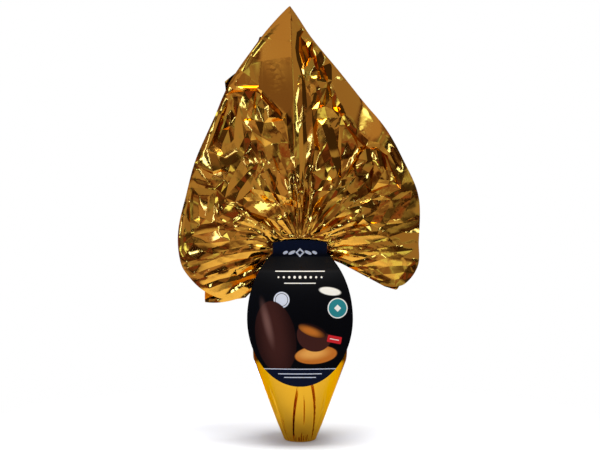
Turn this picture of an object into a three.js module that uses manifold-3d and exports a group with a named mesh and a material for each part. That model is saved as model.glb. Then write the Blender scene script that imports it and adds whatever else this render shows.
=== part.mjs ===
// A moulded chocolate egg in its gift wrapping. One sheet of metallised film is drawn up round the egg and
// its hidden cup, tied at a neck, and fanned out above it as a flattened, crumpled crown with two drooping
// lobes. A stiff card label leans on the front of the egg, with its tab against the neck.
// Millimetres, +Z up. The origin is the centre of the foot's flat underside, and the front faces -Y.
import * as THREE from "three";
import { mergeVertices } from "three/addons/utils/BufferGeometryUtils.js";
import Module from "manifold-3d";

const RAD = Math.PI / 180;

// The wrapped egg, from the foot up to the neck.
const EGG_RADIUS = 62; // film over the widest ring of the egg
const EGG_WAIST_HEIGHT = 140; // height of that ring
const EGG_TOP_REACH = 92; // from the widest ring to the egg's tip
const FOOT_RADIUS = 20.5; // film over the cup's foot
const FOOT_FLAT_RADIUS = 18.5; // the flat underside that the part stands on
const FOOT_ROUNDING = 2.5; // height of the rounded edge of the foot
const CONE_TOP_HEIGHT = 98; // where the taut film leaves the egg
const CONE_TOP_RADIUS = 57.6;
const GATHER_HEIGHT = 212; // where the film leaves the egg's shoulder for the neck
const NECK_RADIUS = 9; // the bunched film under the tie
const NECK_BASE_HEIGHT = 236;
const NECK_TOP_HEIGHT = 256;
const GATHER_CURVE = 1.35; // how hollow the film's profile is between the shoulder and the neck
const LOWER_TUCKS = { depth: 2.2, from: 1, full: 24, fading: 60, gone: 104 }; // heights along the cone
const UPPER_TUCKS = { depth: 3, from: 158, full: 214, fading: 216, gone: 236, left: 0.25 };
const FRONT_TUCKS = [[-9, -13], [9, 4], [18, 26]]; // angle from the front, and drift on the way to the foot
const SIDE_TUCKS = { count: 17, first: 52, span: 270, drift: 8 };
const TUCK_WIDTH = 3.4; // degrees from a tuck's valley to its ridge

// The crown, a fan about the neck. Angles are in degrees from +X, seen from the front.
const NECK_HEIGHT = 247; // centre of the fan
const FAN_START = -28;
const FAN_END = 226;
const FAN_INNER_RADIUS = 6;
const CROWN_OUTLINE = [ // direction, and the film's reach in that direction
  [-28, 112], [-22, 141], [-12, 150], [0, 149], [20, 158], [40, 165], [60, 184], [70, 201], [80, 228],
  [87, 257], [92.5, 296], [98, 272], [105, 243], [114, 215], [125, 187], [140, 167], [160, 154],
  [190, 151], [200, 142], [209, 132], [217, 120], [226, 98],
];
const TIP_DIRECTION = 92.5; // the sheet's corner, a sharp point
const CROWN_HALF_DEPTH = 25; // front or back bulge of the fan at its middle
const LOBE_HALF_DEPTH = 11; // and at its two drooping ends
const EDGE_HALF_DEPTH = 3.5; // plies of film at the free edge
const EDGE_WAVE = 7; // how far the free edge wanders to and fro
const PLEAT_STEP = 8.4; // mean angle between the crown's pleats
const PLEAT_HEIGHT = 4.5;
const CRUMPLE_CELL = 34; // size of the large facets
const CRUMPLE_SLOPE = 0.42; // how steeply they lean
const CROWN_RINGS = 17;
const LEAST_PLY = 1.6; // the fan is never thinner than this half depth
const SPREAD = { atNeck: 0.72, from: 4, full: 44 }; // the fan opens to its full angle within this radius
const FRONT_FOLDS = [ // long folds: ends as [direction, radius], height and half width
  { ends: [[90.5, 120], [92, 275]], height: 9, halfWidth: 34 },
  { ends: [[62, 150], [78, 200]], height: 7, halfWidth: 20 },
  { ends: [[180, 40], [178, 140]], height: -8, halfWidth: 20 },
  { ends: [[201, 55], [206, 120]], height: 7, halfWidth: 20 },
  { ends: [[12, 50], [22, 105]], height: 7, halfWidth: 18 },
  { ends: [[138, 60], [118, 160]], height: -7, halfWidth: 24 },
];
const BACK_FOLDS = [
  { ends: [[84, 90], [91, 280]], height: 9, halfWidth: 32 },
  { ends: [[120, 70], [112, 200]], height: -7, halfWidth: 22 },
  { ends: [[150, 60], [160, 140]], height: 8, halfWidth: 22 },
  { ends: [[40, 60], [52, 160]], height: -8, halfWidth: 24 },
  { ends: [[5, 50], [-2, 130]], height: 7, halfWidth: 18 },
  { ends: [[196, 50], [204, 130]], height: -7, halfWidth: 20 },
];
const ROLLED_EDGE = { from: 14, to: 76, height: 7, start: 0.82 }; // the right side's edge curls forward

// The tie round the neck.
const TIE_HEIGHT = 239.5;
const TIE_SECTION_RADIUS = 1.5;
const TIE_GAP = 0.35;

// The card label: an egg outline with a tab on top.
const CARD_THICKNESS = 1;
const CARD_WAIST_HEIGHT = 156;
const CARD_HALF_WIDTH = 63.5;
const CARD_LOWER_REACH = 81;
const CARD_UPPER_REACH = 90;
const TAB_HALF_WIDTH = 33.5;
const TAB_TOP_HEIGHT = 246;
const TAB_ARCH = 3; // rise of the tab's top edge at the middle
const TAB_STANDOFF = 18.5; // from the neck's axis to the back of the tab
const CARD_CLEARANCE = 2.4; // between the card and the film on the egg
const CROWN_CLEARANCE = 3; // and between the card and the crown
const CARD_WRAP = 0.0025; // how much the card curves round the egg, per mm
const FORWARD_MARGIN = 12; // the crown stays back this far outside the card's outline
const FORWARD_SLOPE = 1.3; // and then comes forward at this slope
const CARD_COLUMNS = 10;

const wasm = await Module();
wasm.setup();

// ---- small helpers ----

const mix = (a, b, t) => a + (b - a) * t;
const clamp = (v, lo, hi) => Math.min(hi, Math.max(lo, v));
const smoothstep = (lo, hi, v) => {
  const t = clamp((v - lo) / (hi - lo), 0, 1);
  return t * t * (3 - 2 * t);
};

// A repeatable stream of numbers from 0 to 1.
function randomStream(seed) {
  let state = seed >>> 0;
  return () => {
    state = (Math.imul(state, 1664525) + 1013904223) >>> 0;
    return state / 4294967296;
  };
}

// The smooth curve through [position, value] pairs, with a sharp corner at the position named.
function curveThrough(pairs, corner) {
  const slope = (i) => {
    const [a, b] = [Math.max(i - 1, 0), Math.min(i + 1, pairs.length - 1)];
    return (pairs[b][1] - pairs[a][1]) / (pairs[b][0] - pairs[a][0]);
  };
  return (at) => {
    let i = 0;
    while (i < pairs.length - 2 && at > pairs[i + 1][0]) i++;
    const [x0, y0] = pairs[i];
    const [x1, y1] = pairs[i + 1];
    const chord = (y1 - y0) / (x1 - x0);
    const m0 = x0 === corner ? chord : slope(i);
    const m1 = x1 === corner ? chord : slope(i + 1);
    const t = clamp((at - x0) / (x1 - x0), 0, 1);
    const width = x1 - x0;
    return (
      y0 * (1 + 2 * t) * (1 - t) ** 2 + m0 * width * t * (1 - t) ** 2 +
      y1 * t * t * (3 - 2 * t) + m1 * width * t * t * (t - 1)
    );
  };
}

// Straight lines through [position, value] pairs.
function linesThrough(pairs) {
  return (at) => {
    let i = 0;
    while (i < pairs.length - 2 && at > pairs[i + 1][0]) i++;
    const [x0, y0] = pairs[i];
    const [x1, y1] = pairs[i + 1];
    return mix(y0, y1, clamp((at - x0) / (x1 - x0), 0, 1));
  };
}

// Crumpled film: flat facets between straight creases. It is the squared distance to the nearest of one set
// of points less that to the nearest of another, which is made of flat pieces everywhere.
function crumple(seed, cell, width, height) {
  const random = randomStream(seed);
  const count = Math.round((width * height) / (cell * cell));
  const scatter = () => Array.from({ length: count }, () => [(random() - 0.5) * width, random() * height]);
  const [ridges, valleys] = [scatter(), scatter()];
  const nearest = (points, a, b) => Math.min(...points.map(([p, q]) => (p - a) ** 2 + (q - b) ** 2));
  return (a, b) => (nearest(ridges, a, b) - nearest(valleys, a, b)) / cell;
}

// ---- the wrapped egg ----

const CONE_HEIGHT = CONE_TOP_HEIGHT - FOOT_ROUNDING;
const coneRadius = (z) => mix(FOOT_RADIUS, CONE_TOP_RADIUS, (z - FOOT_ROUNDING) / CONE_HEIGHT);
const eggRadius = (z) =>
  EGG_RADIUS * Math.sqrt(Math.max(0, 1 - ((z - EGG_WAIST_HEIGHT) / EGG_TOP_REACH) ** 2));

// Radius of the film round the axis at a height, before its pleats.
function bodyRadius(z) {
  if (z < FOOT_ROUNDING) return mix(FOOT_FLAT_RADIUS, FOOT_RADIUS, Math.sqrt(z / FOOT_ROUNDING));
  if (z < CONE_TOP_HEIGHT) return coneRadius(z);
  if (z < GATHER_HEIGHT) return eggRadius(z);
  if (z > NECK_BASE_HEIGHT) return NECK_RADIUS;
  const t = (z - GATHER_HEIGHT) / (NECK_BASE_HEIGHT - GATHER_HEIGHT);
  return NECK_RADIUS + (eggRadius(GATHER_HEIGHT) - NECK_RADIUS) * (1 - t) ** GATHER_CURVE;
}

function bodyHeights() {
  const stretch = (from, to, count) => Array.from({ length: count }, (_, i) => mix(from, to, i / count));
  return [
    ...stretch(0, FOOT_ROUNDING, 2),
    ...stretch(FOOT_ROUNDING, CONE_TOP_HEIGHT, 7),
    ...stretch(CONE_TOP_HEIGHT, EGG_WAIST_HEIGHT, 3),
    ...stretch(EGG_WAIST_HEIGHT, GATHER_HEIGHT, 7),
    ...stretch(GATHER_HEIGHT, NECK_BASE_HEIGHT, 5),
    NECK_BASE_HEIGHT,
    NECK_TOP_HEIGHT,
  ];
}

// The body's columns: each tuck has a valley, the ridge beside it and a point on the smooth film beyond.
function bodyColumns() {
  const random = randomStream(7);
  const { count, first, span, drift: mostDrift } = SIDE_TUCKS;
  const tucks = [...FRONT_TUCKS];
  for (let i = 0; i < count; i++) {
    const uneven = (random() - 0.5) * 0.5;
    tucks.push([first + ((i + uneven) * span) / (count - 1), (random() - 0.5) * mostDrift]);
  }
  return tucks.flatMap(([angle, drift], i) => {
    const next = (tucks[i + 1]?.[0] ?? tucks[0][0] + 360) - angle;
    return [
      { angle, drift, valley: 1 },
      { angle: angle + Math.min(TUCK_WIDTH, next * 0.3), drift, valley: 0 },
      { angle: angle + next * 0.62, drift, valley: 0 },
    ];
  });
}

function tuckDepth(z) {
  const share = ({ from, full, fading, gone, left = 0 }) =>
    smoothstep(from, full, z) * mix(1, left, smoothstep(fading, gone, z));
  return LOWER_TUCKS.depth * share(LOWER_TUCKS) + UPPER_TUCKS.depth * share(UPPER_TUCKS);
}

function bodyGeometry() {
  const [heights, columns] = [bodyHeights(), bodyColumns()];
  const positions = [];
  for (const z of heights) {
    for (const { angle, drift, valley } of columns) {
      const along = (angle + drift * (1 - smoothstep(0, LOWER_TUCKS.gone, z))) * RAD;
      const radius = bodyRadius(z) - valley * tuckDepth(z);
      positions.push(radius * Math.sin(along), -radius * Math.cos(along), z);
    }
  }
  const n = columns.length;
  const faces = [];
  for (let j = 0; j < heights.length - 1; j++) {
    for (let i = 0; i < n; i++) {
      const [a, b] = [j * n + i, j * n + ((i + 1) % n)];
      faces.push(a, b, b + n, a, b + n, a + n);
    }
  }
  const [bottom, top] = [positions.length / 3, positions.length / 3 + 1];
  positions.push(0, 0, 0, 0, 0, NECK_TOP_HEIGHT);
  const last = (heights.length - 1) * n;
  for (let i = 0; i < n; i++) {
    faces.push(bottom, (i + 1) % n, i, top, last + i, last + ((i + 1) % n));
  }
  return geometryFrom(positions, faces);
}

// ---- the crown ----

const crownReach = curveThrough(CROWN_OUTLINE, TIP_DIRECTION);

// The crown's pleats: its ridges and the valleys between them, as [direction, -1 to 1] for each side.
function crownPleats() {
  const random = randomStream(21);
  const ridges = [];
  let next = FAN_START;
  while (next < FAN_END - PLEAT_STEP / 2) {
    ridges.push(next);
    next += PLEAT_STEP * mix(0.6, 1.4, random());
  }
  ridges.push(FAN_END);
  const front = [];
  const back = [];
  ridges.forEach((at, i) => {
    front.push([at, mix(0.35, 1, random())]);
    back.push([at, -mix(0.35, 1, random())]);
    if (i < ridges.length - 1) {
      const valley = mix(at, ridges[i + 1], mix(0.35, 0.65, random()));
      front.push([valley, -mix(0.35, 1, random())]);
      back.push([valley, mix(0.35, 1, random())]);
    }
  });
  return { front, back };
}

const pleats = crownPleats();
const pleatFront = linesThrough(pleats.front);
const pleatBack = linesThrough(pleats.back);
const FAN_SPREAD = 85; // radius at which the fan is rolled flat for its crumpling
const FAN_WIDTH = (FAN_END - FAN_START) * RAD * FAN_SPREAD;
const crumpleFront = crumple(3, CRUMPLE_CELL, FAN_WIDTH, 300);
const crumpleBack = crumple(11, CRUMPLE_CELL, FAN_WIDTH, 300);

// A point of the fan seen from the front. Near the neck the plies rise before they spread and droop.
function fanPoint(direction, radius) {
  const spread = mix(SPREAD.atNeck, 1, smoothstep(SPREAD.from, SPREAD.full, radius));
  const angle = (90 + (direction - 90) * spread) * RAD;
  return [radius * Math.cos(angle), NECK_HEIGHT + radius * Math.sin(angle)];
}

// A long fold is a roof: full height along its line, and straight down to nothing on both sides.
function foldHeight(folds, x, z) {
  return folds.reduce((sum, { ends, height, halfWidth }) => {
    const [[ax, az], [bx, bz]] = ends.map(([direction, radius]) => fanPoint(direction, radius));
    const [dx, dz] = [bx - ax, bz - az];
    const t = clamp(((x - ax) * dx + (z - az) * dz) / (dx * dx + dz * dz), 0, 1);
    const away = Math.hypot(x - ax - t * dx, z - az - t * dz);
    return sum + height * Math.max(0, 1 - away / halfWidth);
  }, 0);
}

// Heights of the fan's front and back above its middle plane, and the middle plane's own sway. u goes from
// 0 at the neck to 1 at the free edge.
function fanDepths(direction, u) {
  const across = (direction - FAN_START) / (FAN_END - FAN_START);
  const radius = mix(FAN_INNER_RADIUS, crownReach(direction), u);
  const [x, z] = fanPoint(direction, radius);
  const ends = smoothstep(0, 0.05, across) * (1 - smoothstep(0.95, 1, across)); // 0 at the fan's two ends
  const fullness = Math.sin(Math.PI * across) ** 0.8;
  const bulge = mix(LOBE_HALF_DEPTH, CROWN_HALF_DEPTH, fullness) * mix(0.25, 1, ends);
  const swell = 4 * u ** 0.7 * (1 - u ** 0.7); // fullest a third of the way out
  const base = mix(NECK_RADIUS * 0.8, EDGE_HALF_DEPTH, u) + bulge * swell;
  const pleating = PLEAT_HEIGHT * Math.sin(Math.PI * mix(0.04, 0.94, u)) * mix(0.5, 1, ends);
  const calm = smoothstep(0, 0.35, u) * mix(1, 0.45, smoothstep(0.8, 1, u));
  const crumpling = CRUMPLE_SLOPE * mix(0.25, 1, calm);
  const unrolled = [(direction - (FAN_START + FAN_END) / 2) * RAD * FAN_SPREAD, radius];
  const edgeWave = Math.sin(direction * 0.083 + 1) + 0.5 * Math.sin(direction * 0.21);
  const { from, to, height, start } = ROLLED_EDGE;
  const rolled = smoothstep(from, from + 12, direction) * (1 - smoothstep(to - 12, to, direction));
  const curl = height * rolled * smoothstep(start, 1, u);
  const front = pleating * pleatFront(direction) + crumpling * crumpleFront(...unrolled);
  const back = pleating * pleatBack(direction) + crumpling * crumpleBack(...unrolled);
  return {
    front: base + front + foldHeight(FRONT_FOLDS, x, z) * (1 - u ** 4),
    back: base + back + foldHeight(BACK_FOLDS, x, z) * (1 - u ** 4),
    sway: EDGE_WAVE * u ** 3 * edgeWave - curl,
  };
}

function crownGeometry() {
  const directions = pleats.front.map(([at]) => at);
  directions.push(TIP_DIRECTION - 2.5, TIP_DIRECTION, TIP_DIRECTION + 2.5);
  directions.sort((a, b) => a - b);
  const [n, rings] = [directions.length, CROWN_RINGS];
  const positions = [];
  for (const side of [-1, 1]) {
    for (let j = 0; j < rings; j++) {
      for (const direction of directions) {
        const u = j / (rings - 1);
        const [x, z] = fanPoint(direction, mix(FAN_INNER_RADIUS, crownReach(direction), u));
        const { front, back, sway } = fanDepths(direction, u);
        const thin = Math.max(0, LEAST_PLY - (front + back) / 2);
        let y = sway + (side < 0 ? -front - thin : back + thin);
        if (side < 0) y = Math.max(y, behindCard(x, z));
        positions.push(x, y, z);
      }
    }
  }
  const faces = [];
  const quad = (a, b, c, d) => faces.push(a, b, c, a, c, d);
  const at = (side, j, i) => (side * rings + j) * n + i;
  for (let j = 0; j < rings - 1; j++) {
    for (let i = 0; i < n - 1; i++) {
      quad(at(0, j, i), at(0, j + 1, i), at(0, j + 1, i + 1), at(0, j, i + 1));
      quad(at(1, j, i), at(1, j, i + 1), at(1, j + 1, i + 1), at(1, j + 1, i));
    }
    quad(at(0, j, 0), at(1, j, 0), at(1, j + 1, 0), at(0, j + 1, 0));
    quad(at(0, j, n - 1), at(0, j + 1, n - 1), at(1, j + 1, n - 1), at(1, j, n - 1));
  }
  for (let i = 0; i < n - 1; i++) {
    quad(at(0, 0, i), at(0, 0, i + 1), at(1, 0, i + 1), at(1, 0, i));
    quad(at(0, rings - 1, i), at(1, rings - 1, i), at(1, rings - 1, i + 1), at(0, rings - 1, i + 1));
  }
  return geometryFrom(positions, faces);
}

// ---- the card label ----

// Half the card's width at a height, or a negative number above its top edge or below its foot.
function cardHalfWidth(z) {
  const reach = z < CARD_WAIST_HEIGHT ? CARD_LOWER_REACH : CARD_UPPER_REACH;
  const share = 1 - ((z - CARD_WAIST_HEIGHT) / reach) ** 2;
  const egg = share < 0 ? -1 : CARD_HALF_WIDTH * Math.sqrt(share);
  return z > CARD_WAIST_HEIGHT ? Math.max(egg, TAB_HALF_WIDTH) : egg;
}

const tabTop = (x) => TAB_TOP_HEIGHT + TAB_ARCH * (1 - (x / TAB_HALF_WIDTH) ** 2);

// Y of the card's back face: it leans on the egg's shoulder and hangs straight below the widest ring.
function cardBack(x, z) {
  const behind = z < EGG_WAIST_HEIGHT ? EGG_RADIUS : bodyRadius(Math.min(z, NECK_BASE_HEIGHT));
  const standoff = Math.max(behind + CARD_CLEARANCE, TAB_STANDOFF);
  return -standoff + CARD_WRAP * x * x;
}

// The furthest forward that the crown may come: behind the card, and freely forward away from its outline.
function behindCard(x, z) {
  const outside = Math.max(z - tabTop(x), Math.abs(x) - cardHalfWidth(Math.min(z, TAB_TOP_HEIGHT)));
  return cardBack(x, z) + CROWN_CLEARANCE - Math.max(0, outside - FORWARD_MARGIN) * FORWARD_SLOPE;
}

// The heights of the card's rows: round the lower half, up the upper half, and up the tab.
function cardLevels() {
  const narrowing = Math.sqrt(1 - (TAB_HALF_WIDTH / CARD_HALF_WIDTH) ** 2);
  const tabFoot = CARD_WAIST_HEIGHT + CARD_UPPER_REACH * narrowing;
  const levels = [];
  for (let turn = 4; turn < 90; turn += 8) {
    levels.push(CARD_WAIST_HEIGHT - CARD_LOWER_REACH * Math.cos(turn * RAD));
  }
  for (let i = 0; i < 9; i++) levels.push(mix(CARD_WAIST_HEIGHT, tabFoot, i / 9));
  for (let i = 0; i <= 3; i++) levels.push(mix(tabFoot, TAB_TOP_HEIGHT, i / 3));
  return levels;
}

function cardGeometry() {
  const levels = cardLevels();
  const [rows, columns] = [levels.length, CARD_COLUMNS];
  const positions = [];
  for (const depth of [CARD_THICKNESS, 0]) {
    for (const level of levels) {
      for (let i = 0; i < columns; i++) {
        const x = cardHalfWidth(level) * (-1 + (2 * i) / (columns - 1));
        const arched = smoothstep(TAB_TOP_HEIGHT - 14, TAB_TOP_HEIGHT, level);
        const z = level + (tabTop(x) - TAB_TOP_HEIGHT) * arched;
        positions.push(x, cardBack(x, z) - depth, z);
      }
    }
  }
  const faces = [];
  const quad = (a, b, c, d) => faces.push(a, b, c, a, c, d);
  const at = (side, j, i) => (side * rows + j) * columns + i;
  for (let j = 0; j < rows - 1; j++) {
    for (let i = 0; i < columns - 1; i++) {
      quad(at(0, j, i), at(0, j, i + 1), at(0, j + 1, i + 1), at(0, j + 1, i));
      quad(at(1, j, i), at(1, j + 1, i), at(1, j + 1, i + 1), at(1, j, i + 1));
    }
    const last = columns - 1;
    quad(at(0, j, 0), at(0, j + 1, 0), at(1, j + 1, 0), at(1, j, 0));
    quad(at(0, j, last), at(1, j, last), at(1, j + 1, last), at(0, j + 1, last));
  }
  for (let i = 0; i < columns - 1; i++) {
    quad(at(0, 0, i), at(1, 0, i), at(1, 0, i + 1), at(0, 0, i + 1));
    quad(at(0, rows - 1, i), at(0, rows - 1, i + 1), at(1, rows - 1, i + 1), at(1, rows - 1, i));
  }
  return geometryFrom(positions, faces);
}

// ---- the tie ----

function tieGeometry() {
  const radius = NECK_RADIUS + TIE_GAP + TIE_SECTION_RADIUS;
  return new THREE.TorusGeometry(radius, TIE_SECTION_RADIUS, 8, 36).translate(0, 0, TIE_HEIGHT);
}

// ---- solids and meshes ----

function geometryFrom(positions, faces) {
  const geometry = new THREE.BufferGeometry();
  geometry.setAttribute("position", new THREE.Float32BufferAttribute(positions, 3));
  geometry.setIndex(faces);
  return geometry;
}

function solidFrom(geometry) {
  const merged = mergeVertices(geometry, 1e-3);
  return new wasm.Manifold(
    new wasm.Mesh({
      numProp: 3,
      vertProperties: merged.attributes.position.array,
      triVerts: new Uint32Array(merged.index.array),
    }),
  );
}

function geometryOf(solid) {
  const mesh = solid.getMesh();
  return geometryFrom(mesh.vertProperties, Array.from(mesh.triVerts));
}

function addMesh(group, name, geometry, look) {
  const drawn = geometry.index ? geometry.toNonIndexed() : geometry;
  drawn.computeVertexNormals();
  const mesh = new THREE.Mesh(drawn, new THREE.MeshStandardMaterial({ ...look, flatShading: true }));
  mesh.name = name;
  group.add(mesh);
}

const film = { color: 0xc08a2c, roughness: 0.18, metalness: 1 };
const card = { color: 0x0b0c12, roughness: 0.35, metalness: 0 };
const cord = { color: 0xa9792a, roughness: 0.4, metalness: 0.6 };

const wrap = solidFrom(bodyGeometry()).add(solidFrom(crownGeometry()));

const egg = new THREE.Group();
addMesh(egg, "film_wrap", geometryOf(wrap), film);
addMesh(egg, "card_label", cardGeometry(), card);
addMesh(egg, "neck_tie", tieGeometry(), cord);

export default egg;
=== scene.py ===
import math
import bpy
import numpy as np
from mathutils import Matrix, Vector
from mathutils.geometry import delaunay_2d_cdt


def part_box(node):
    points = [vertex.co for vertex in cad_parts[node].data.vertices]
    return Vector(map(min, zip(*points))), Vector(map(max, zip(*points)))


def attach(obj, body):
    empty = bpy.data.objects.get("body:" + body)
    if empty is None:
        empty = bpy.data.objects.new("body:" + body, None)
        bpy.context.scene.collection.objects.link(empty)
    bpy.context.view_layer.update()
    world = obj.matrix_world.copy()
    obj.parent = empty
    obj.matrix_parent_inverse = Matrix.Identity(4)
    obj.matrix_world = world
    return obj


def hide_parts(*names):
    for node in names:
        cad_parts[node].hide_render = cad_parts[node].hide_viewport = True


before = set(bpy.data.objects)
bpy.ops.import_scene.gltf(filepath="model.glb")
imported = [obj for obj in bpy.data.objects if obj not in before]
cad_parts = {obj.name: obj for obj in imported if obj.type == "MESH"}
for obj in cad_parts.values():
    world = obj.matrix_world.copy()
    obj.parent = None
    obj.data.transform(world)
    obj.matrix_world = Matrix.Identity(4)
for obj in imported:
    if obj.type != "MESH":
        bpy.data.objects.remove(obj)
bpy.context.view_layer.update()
mm = 0.001
print("frame loaded")

tieLow, tieHigh = (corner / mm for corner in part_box("neck_tie"))
cardLow, cardHigh = (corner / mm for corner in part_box("card_label"))
fanHeight = tieHigh.z + 6  # the crown fans out from here, just above the tie


def mix(a, b, t):
    return a + (b - a) * t


def smooth(low, high, value):
    t = np.clip((value - low) / (high - low), 0, 1)
    return t * t * (3 - 2 * t)


def curveThrough(pairs, corner=None):
    # a smooth curve through the pairs, with a sharp corner at one of them
    xs, ys = np.array(pairs, float).T
    slopes = np.gradient(ys, xs)
    slopes[1:-1] = (ys[2:] - ys[:-2]) / (xs[2:] - xs[:-2])
    chords = np.diff(ys) / np.diff(xs)

    def curve(at):
        i = np.clip(np.searchsorted(xs, at) - 1, 0, len(xs) - 2)
        width = xs[i + 1] - xs[i]
        t = np.clip((at - xs[i]) / width, 0, 1)
        first = np.where(xs[i] == corner, chords[i], slopes[i])
        last = np.where(xs[i + 1] == corner, chords[i], slopes[i + 1])
        return (ys[i] * (1 + 2 * t) * (1 - t) ** 2 + first * width * t * (1 - t) ** 2
                + ys[i + 1] * t * t * (3 - 2 * t) + last * width * t * t * (t - 1))
    return curve


def nearestSquared(a, b, seed):
    # squared distance to the nearest of a scatter of points, one in each unit square
    count = 64
    scatter = np.random.default_rng(seed).uniform(0.04, 0.96, (count, count, 2))
    column, row = np.floor(a).astype(int), np.floor(b).astype(int)
    best = np.full(a.shape, 99.0)
    for i in range(-2, 3):
        for j in range(-2, 3):
            point = scatter[(column + i) % count, (row + j) % count]
            across, up = column + i + point[..., 0] - a, row + j + point[..., 1] - b
            best = np.minimum(best, across ** 2 + up ** 2)
    return best


def facets(a, b, cell, seed):
    # crumpled film: flat facets between straight creases, with slopes of about one
    turn = seed * 0.7
    p = (a * math.cos(turn) - b * math.sin(turn)) / cell
    q = (a * math.sin(turn) + b * math.cos(turn)) / cell
    return (nearestSquared(p, q, seed) - nearestSquared(p, q, seed + 1)) * cell


def foldHeight(folds, x, z):
    # each fold is a ridge line with a straight slope down each side: ends, height, width left and right of it
    total = np.zeros(np.broadcast(x, z).shape)
    for x1, z1, x2, z2, height, left, right in folds:
        length = math.hypot(x2 - x1, z2 - z1)
        dx, dz = (x2 - x1) / length, (z2 - z1) / length
        along = (x - x1) * dx + (z - z1) * dz
        side = (z - z1) * dx - (x - x1) * dz
        beyond = np.maximum(0, np.maximum(-along, along - length)) / (0.35 * length)
        across = np.where(side > 0, side / left, -side / right)
        total += height * np.maximum(0, 1 - np.hypot(across, beyond))
    return total


drawnSize = 150  # mm from the neck, where drawnIn leaves a point where it is


def drawnIn(x, z):
    # the fan drawn with its pleats shorter for their width, so that facets laid out here lie along them
    radius = np.maximum(1, np.hypot(x, z - fanHeight))
    share = drawnSize * (radius / drawnSize) ** 0.5 / radius
    return np.stack([x * share, (z - fanHeight) * share], -1)


def trianglesBetween(lines, loose):
    # flat triangles between creases and loose points: their corners (triangle, 3, xzh), and all their edges
    points, edges = [], []
    for line in lines:
        edges += [(len(points) + i, len(points) + i + 1) for i in range(len(line) - 1)]
        points += line
    points = np.array(points + loose)
    drawn = [Vector(p) for p in drawnIn(points[:, 0], points[:, 1])]
    corners, sides, triangles, origins = delaunay_2d_cdt(drawn, edges, [], 0, 0.001)[:4]
    places = []
    for at, origin in zip(corners, origins):
        if origin:
            places.append(points[origin[0]])
        else:  # where two creases cross, at a height of 1
            share = at.length / drawnSize
            places.append((at.x * share, fanHeight + at.y * share, 1.0))
    places = np.array(places)
    return np.array([places[face] for face in triangles]), [places[[i, j], :2] for i, j in sides]


def heightOver(triangles, x, z):
    total = np.zeros(x.shape)
    for a, b, c in triangles:
        low, high = np.minimum(np.minimum(a, b), c), np.maximum(np.maximum(a, b), c)
        near = (x >= low[0]) & (x <= high[0]) & (z >= low[1]) & (z <= high[1])
        if not near.any():
            continue
        px, pz = x[near] - a[0], z[near] - a[1]
        (bx, bz, bh), (cx, cz, ch) = b - a, c - a
        area = bx * cz - bz * cx
        if abs(area) < 1e-9:
            continue
        u, v = (px * cz - pz * cx) / area, (bx * pz - bz * px) / area
        inside = (u > -1e-6) & (v > -1e-6) & (u + v < 1 + 1e-6)
        spot = np.flatnonzero(near.ravel())[inside]
        total.ravel()[spot] = (a[2] + u * bh + v * ch)[inside]
    return total


def makePiece(name, points, faces, material, crease=38):
    mesh = bpy.data.meshes.new(name)
    mesh.from_pydata((np.asarray(points, float) * mm).tolist(), [], faces)
    mesh.validate()
    mesh.shade_smooth()
    mesh.set_sharp_from_angle(angle=math.radians(crease))
    mesh.materials.append(material)
    piece = bpy.data.objects.new(name, mesh)
    bpy.context.scene.collection.objects.link(piece)
    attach(piece, "root")
    return piece


def loftedLoops(loops):
    # loops: (loop, point, xyz). Closed loops joined in order, with both ends capped
    count, size = loops.shape[:2]
    i = np.arange(size)
    j = np.arange(count - 1)[:, None]
    a, b = j * size + i, j * size + (i + 1) % size
    faces = np.stack([a, b, b + size, a + size], -1).reshape(-1, 4).tolist()
    faces.append(list(range(size))[::-1])
    faces.append(list(range((count - 1) * size, count * size)))
    return loops.reshape(-1, 3), faces


class Socket:
    def __init__(self, shader, link):
        self.shader = shader
        self.link = link

    def maths(self, operation, *values):
        return self.shader.node("ShaderNodeMath", {"operation": operation}, dict(enumerate(values)))

    def __add__(self, other):
        return self.maths("ADD", self, other)

    def __radd__(self, other):
        return self.maths("ADD", other, self)

    def __sub__(self, other):
        return self.maths("SUBTRACT", self, other)

    def __rsub__(self, other):
        return self.maths("SUBTRACT", other, self)

    def __mul__(self, other):
        return self.maths("MULTIPLY", self, other)

    def __rmul__(self, other):
        return self.maths("MULTIPLY", other, self)

    def __truediv__(self, other):
        return self.maths("DIVIDE", self, other)

    def __rtruediv__(self, other):
        return self.maths("DIVIDE", other, self)

    def __pow__(self, other):
        return self.maths("POWER", self, other)

    def __rpow__(self, other):
        return self.maths("POWER", other, self)

    def atLeast(self, other):
        return self.maths("MAXIMUM", self, other)

    def atMost(self, other):
        return self.maths("MINIMUM", self, other)

    def absolute(self):
        return self.maths("ABSOLUTE", self)

    def ramp(self, low, high):
        # 0 at low, 1 at high, smoothly
        return self.shader.node("ShaderNodeMapRange", {"interpolation_type": "SMOOTHSTEP"},
                                {"Value": self, "From Min": low, "From Max": high})


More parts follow.
